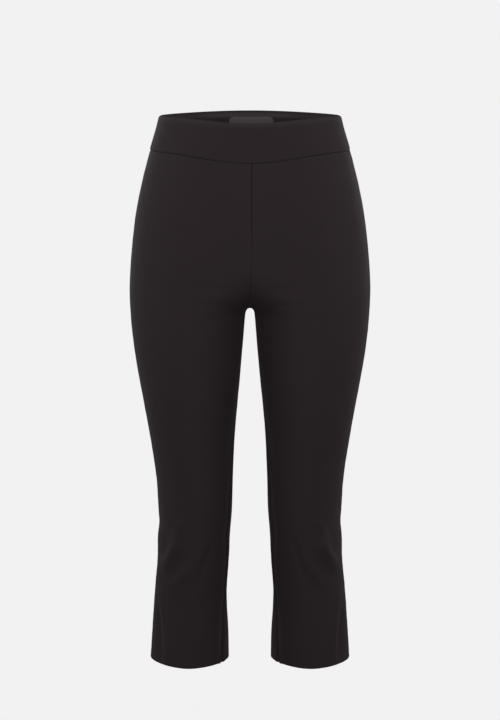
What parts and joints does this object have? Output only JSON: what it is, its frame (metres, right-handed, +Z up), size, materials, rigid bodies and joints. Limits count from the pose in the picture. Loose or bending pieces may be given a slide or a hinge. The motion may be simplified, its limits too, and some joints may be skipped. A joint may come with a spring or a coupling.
{
  "type": "capri pants",
  "caption": "Slim pull-on capri pants with a shaped waistband, filled out as if worn, hollow and open at the waist and at both leg hems.",
  "frame": {"origin": "centre of the waist opening, level with the top of the side seams, where the wearer's waist holds it", "axes": "+Z up along the body, +X towards the wearer's left, the front of the garment faces -Y"},
  "size_m": [0.3478, 0.2322, 0.806],
  "materials": {
    "twill": "matte black stretch twill with a faint sheen at grazing angles",
    "label_satin": "blank dark woven label, slightly satin"
  },
  "bodies": {
    "root": {"front_left": "twill", "front_right": "twill", "back_left": "twill", "back_right": "twill", "waistband_front": "twill", "waistband_back": "twill", "label": "label_satin"}
  },
  "joints": []
}
